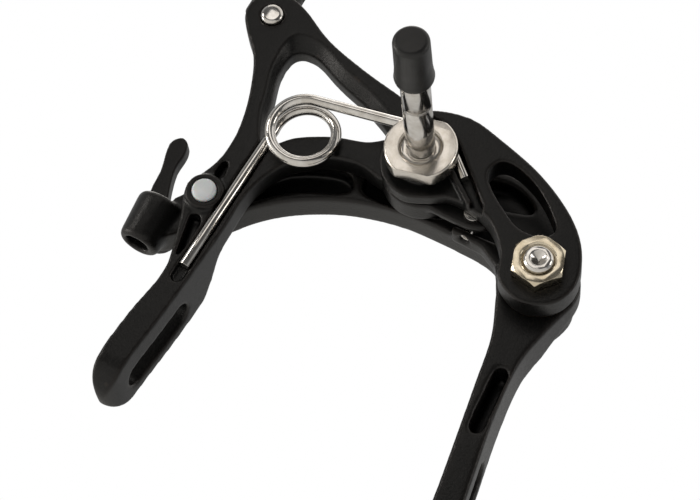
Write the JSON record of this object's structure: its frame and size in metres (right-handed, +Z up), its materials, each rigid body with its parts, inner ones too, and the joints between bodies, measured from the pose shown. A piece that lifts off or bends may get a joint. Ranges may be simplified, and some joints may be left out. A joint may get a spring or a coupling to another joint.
{
  "type": "rim brake caliper",
  "caption": "Dual-pivot rim brake caliper with curved black arms, coil return spring, mounting stud and slotted pad legs.",
  "frame": {"origin": "on the mounting stud's axis, at the seating face of the flange nut", "axes": "+Z up towards the cable's end, -Y along the stud into the bicycle's frame, +X to the right seen from the stud's side"},
  "size_m": [0.0992, 0.0671, 0.1178],
  "materials": {
    "black_anodised_alloy": "black anodised forged alloy, satin",
    "chromed_steel": "polished chrome and nickel plate",
    "zinc_plated_steel": "zinc plate, satin",
    "bronze": "sintered bronze, satin",
    "white_nylon": "natural nylon, satin",
    "black_rubber": "black moulded rubber, matte",
    "black_plastic": "black moulded plastic, satin"
  },
  "bodies": {
    "mounting_bracket": {"centre_bolt": "chromed_steel", "flange_nut": "chromed_steel", "nut_lock_ring": "chromed_steel", "bracket": "black_anodised_alloy", "rear_thrust_washer": "bronze", "front_thrust_washer": "bronze", "side_pivot_bolt": "chromed_steel", "side_pivot_locknut": "zinc_plated_steel", "side_rear_washer": "bronze", "side_front_washer": "bronze", "return_spring": "chromed_steel"},
    "cap": {"stud_cap": "black_rubber"},
    "c_arm": {"c_arm": "black_anodised_alloy", "centre_bush": "bronze", "spring_guide_plug": "white_nylon", "contact_pin": "chromed_steel", "stop_pin": "chromed_steel", "stop_pin_clip": "zinc_plated_steel"},
    "y_arm": {"y_arm": "black_anodised_alloy", "side_bush": "bronze", "lever_wave_washer": "bronze"},
    "cable_stop": {"cable_stop": "black_anodised_alloy", "adjuster_ring": "black_rubber"},
    "adjuster_barrel": {"adjuster_barrel": "black_anodised_alloy"},
    "adjuster_knob": {"adjuster_knob": "black_plastic"},
    "centring_screw": {"centring_screw": "chromed_steel"},
    "quick_release": {"quick_release_lever": "black_anodised_alloy", "anchor_barrel": "chromed_steel", "anchor_bolt": "zinc_plated_steel", "anchor_washer": "zinc_plated_steel"}
  },
  "joints": [
    {"name": "centre_pivot", "type": "hinge", "parent": "mounting_bracket", "child": "c_arm", "pos_m": [0, 0.0129, 0], "axis": [0, -1, 0], "range_deg": [0, 7], "stiffness_Nm_per_rad": 1.5, "springref_deg": -17.19, "deforming": ["return_spring"]},
    {"name": "side_pivot", "type": "hinge", "parent": "mounting_bracket", "child": "y_arm", "pos_m": [0.0324, 0.0172, -0.0124], "axis": [0, 1, 0], "range_deg": [0, 5.3]},
    {"name": "cable_stop_swivel", "type": "hinge", "parent": "c_arm", "child": "cable_stop", "pos_m": [-0.0467, 0.0188, 0.0194], "axis": [0, 1, 0], "range_deg": [-8, 8]},
    {"name": "adjuster_turn", "type": "hinge", "parent": "cable_stop", "child": "adjuster_knob", "pos_m": [-0.0524, 0.0206, 0.0334], "axis": [0, 0, 1], "range_deg": [0, 1801]},
    {"name": "adjuster_travel", "type": "slide", "parent": "cable_stop", "child": "adjuster_barrel", "axis": [0, 0, 1], "range_m": [0, 0.005]},
    {"name": "centring_screw_turn", "type": "hinge", "parent": "y_arm", "child": "centring_screw", "pos_m": [0.0139, 0.0142, -0.0078], "axis": [0, 0, 1], "range_deg": [-180, 180]},
    {"name": "quick_release_swing", "type": "hinge", "parent": "y_arm", "child": "quick_release", "pos_m": [-0.048, 0.0244, -0.031], "axis": [0, -1, 0], "range_deg": [0, 100]},
    {"name": "cap_pull", "type": "slide", "parent": "mounting_bracket", "child": "cap", "axis": [0, -1, 0], "range_m": [0, 0.012]}
  ],
  "couplings": [
    {"joint": "side_pivot", "follows": "centre_pivot", "ratio": 0.7514},
    {"joint": "adjuster_turn", "follows": "adjuster_travel", "rad_per_m": 6283.2}
  ]
}
